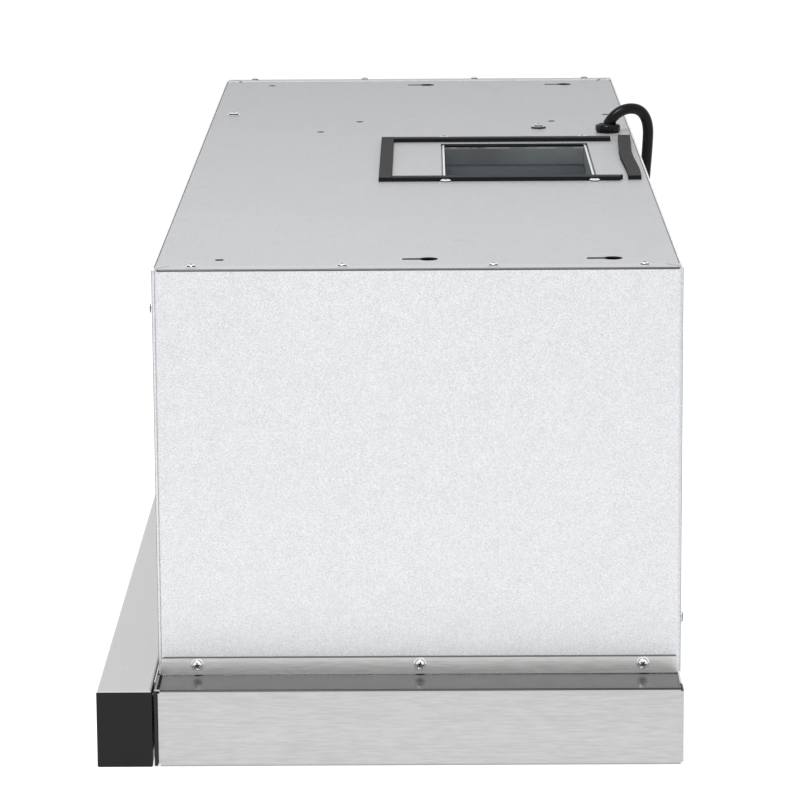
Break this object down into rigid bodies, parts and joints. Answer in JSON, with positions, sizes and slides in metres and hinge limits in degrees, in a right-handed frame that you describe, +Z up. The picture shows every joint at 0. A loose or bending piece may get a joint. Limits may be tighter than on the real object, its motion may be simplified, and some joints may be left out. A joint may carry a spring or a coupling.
{
  "type": "under cabinet range hood",
  "caption": "Slide-out under-cabinet range hood: galvanised body, brushed canopy, pull-out visor with push buttons, centrifugal blower, grease filters and lamps.",
  "frame": {"origin": "middle of the footprint, on the plane of the canopy's lower edge (the bounding box without the power cord, its coil and its plug)", "axes": "+X to the hood's right as its user stands in front of it and sees it, +Y from the front towards the wall, +Z up towards the cabinet"},
  "size_m": [1.028, 0.3521, 0.2913],
  "materials": {
    "galvanised": "bright galvanised sheet",
    "blower_steel": "dull galvanised sheet",
    "brushed_steel": "horizontally brushed stainless steel",
    "zinc_steel": "zinc-plated steel",
    "screw_zinc": "bright zinc-plated steel",
    "lamination": "varnished steel laminations",
    "cast_aluminium": "die-cast aluminium",
    "bronze": "sintered bronze",
    "filter_aluminium": "bright aluminium",
    "black_plastic": "satin moulded plastic",
    "button_plastic": "satin moulded plastic",
    "gland_plastic": "glossy nylon",
    "capacitor_plastic": "pale plastic can",
    "terminal_plastic": "pale nylon",
    "lamp_body": "satin chromed ring",
    "lamp_glass": "frosted glass",
    "circuit_board": "green board",
    "foam": "closed-cell foam tape",
    "bumper_rubber": "soft black rubber",
    "cord_rubber": "glossy black cord sheath"
  },
  "bodies": {
    "housing": {"top_panel": "galvanised", "right_side_panel": "galvanised", "left_side_panel": "galvanised", "front_panel": "galvanised", "back_panel": "galvanised", "outlet_collar": "blower_steel", "blower_scroll": "blower_steel", "blower_right_cheek": "blower_steel", "blower_left_cheek": "blower_steel", "wiring_box": "blower_steel", "wiring_box_lid": "blower_steel", "right_canopy_wing": "brushed_steel", "left_canopy_wing": "brushed_steel", "rear_skirt": "brushed_steel", "underside_panel": "brushed_steel", "motor_bracket": "zinc_steel", "slide_outer_rails": "zinc_steel", "panel_screws": "screw_zinc", "top_edge_screws": "screw_zinc", "blower_screws": "screw_zinc", "ground_screw": "screw_zinc", "motor_stator": "lamination", "motor_end_bells": "cast_aluminium", "motor_bearings": "bronze", "visor_switch": "black_plastic", "cord_gland": "gland_plastic", "gland_nut": "gland_plastic", "run_capacitor": "capacitor_plastic", "terminal_block": "terminal_plastic", "lamp_housings": "lamp_body", "lamp_lenses": "lamp_glass", "duct_gasket": "foam", "rear_gasket": "foam", "visor_bumpers": "bumper_rubber", "power_cord": "cord_rubber", "cord_coil": "cord_rubber", "power_plug": "cord_rubber"},
    "visor": {"visor_bar": "brushed_steel", "visor_end_caps": "black_plastic", "visor_panel": "brushed_steel", "slide_inner_rails": "zinc_steel", "control_housing": "black_plastic", "control_board": "circuit_board"},
    "right_slide": {"right_slide_middle": "zinc_steel"},
    "left_slide": {"left_slide_middle": "zinc_steel"},
    "fan": {"fan_wheel": "blower_steel", "motor_shaft": "zinc_steel", "motor_rotor": "lamination"},
    "plunger": {"switch_plunger": "button_plastic"},
    "right_filter": {"right_filter_frame": "filter_aluminium", "right_filter_mesh": "filter_aluminium"},
    "left_filter": {"left_filter_frame": "filter_aluminium", "left_filter_mesh": "filter_aluminium"},
    "right_latch": {"right_filter_latch": "black_plastic"},
    "left_latch": {"left_filter_latch": "black_plastic"},
    "stop_button": {"stop_button": "button_plastic"},
    "low_button": {"low_button": "button_plastic"},
    "medium_button": {"medium_button": "button_plastic"},
    "high_button": {"high_button": "button_plastic"},
    "light_button": {"light_button": "button_plastic"}
  },
  "joints": [
    {"name": "visor_slide", "type": "slide", "parent": "housing", "child": "visor", "axis": [0, -1, 0], "range_m": [0, 0.15]},
    {"name": "right_slide_travel", "type": "slide", "parent": "housing", "child": "right_slide", "axis": [0, -1, 0], "range_m": [0, 0.075]},
    {"name": "left_slide_travel", "type": "slide", "parent": "housing", "child": "left_slide", "axis": [0, -1, 0], "range_m": [0, 0.075]},
    {"name": "plunger_travel", "type": "slide", "parent": "housing", "child": "plunger", "axis": [0, -1, 0], "range_m": [0, 0.002]},
    {"name": "fan_spin", "type": "hinge", "parent": "housing", "child": "fan", "pos_m": [0.0055, 0.01152, 0.15798], "axis": [1, 0, 0], "continuous": true},
    {"name": "right_filter_tilt", "type": "hinge", "parent": "housing", "child": "right_filter", "pos_m": [0.216, 0.1491, 0.001], "axis": [1, 0, 0], "range_deg": [0, 85]},
    {"name": "right_latch_pull", "type": "slide", "parent": "right_filter", "child": "right_latch", "axis": [0, 1, 0], "range_m": [0, 0.004], "stiffness_N_per_m": 400},
    {"name": "left_filter_tilt", "type": "hinge", "parent": "housing", "child": "left_filter", "pos_m": [-0.216, 0.1491, 0.001], "axis": [1, 0, 0], "range_deg": [0, 85]},
    {"name": "left_latch_pull", "type": "slide", "parent": "left_filter", "child": "left_latch", "axis": [0, 1, 0], "range_m": [0, 0.004], "stiffness_N_per_m": 400},
    {"name": "stop_press", "type": "slide", "parent": "visor", "child": "stop_button", "axis": [0, 1, 0], "range_m": [0, 0.0016], "stiffness_N_per_m": 500},
    {"name": "low_press", "type": "slide", "parent": "visor", "child": "low_button", "axis": [0, 1, 0], "range_m": [0, 0.0016], "stiffness_N_per_m": 500},
    {"name": "medium_press", "type": "slide", "parent": "visor", "child": "medium_button", "axis": [0, 1, 0], "range_m": [0, 0.0016], "stiffness_N_per_m": 500},
    {"name": "high_press", "type": "slide", "parent": "visor", "child": "high_button", "axis": [0, 1, 0], "range_m": [0, 0.0016], "stiffness_N_per_m": 500},
    {"name": "light_press", "type": "slide", "parent": "visor", "child": "light_button", "axis": [0, 1, 0], "range_m": [0, 0.0016], "stiffness_N_per_m": 500}
  ],
  "couplings": [
    {"joint": "right_slide_travel", "follows": "visor_slide", "ratio": 0.5},
    {"joint": "left_slide_travel", "follows": "visor_slide", "ratio": 0.5},
    {"joint": "plunger_travel", "follows": "visor_slide", "ratio": 0.0133}
  ]
}
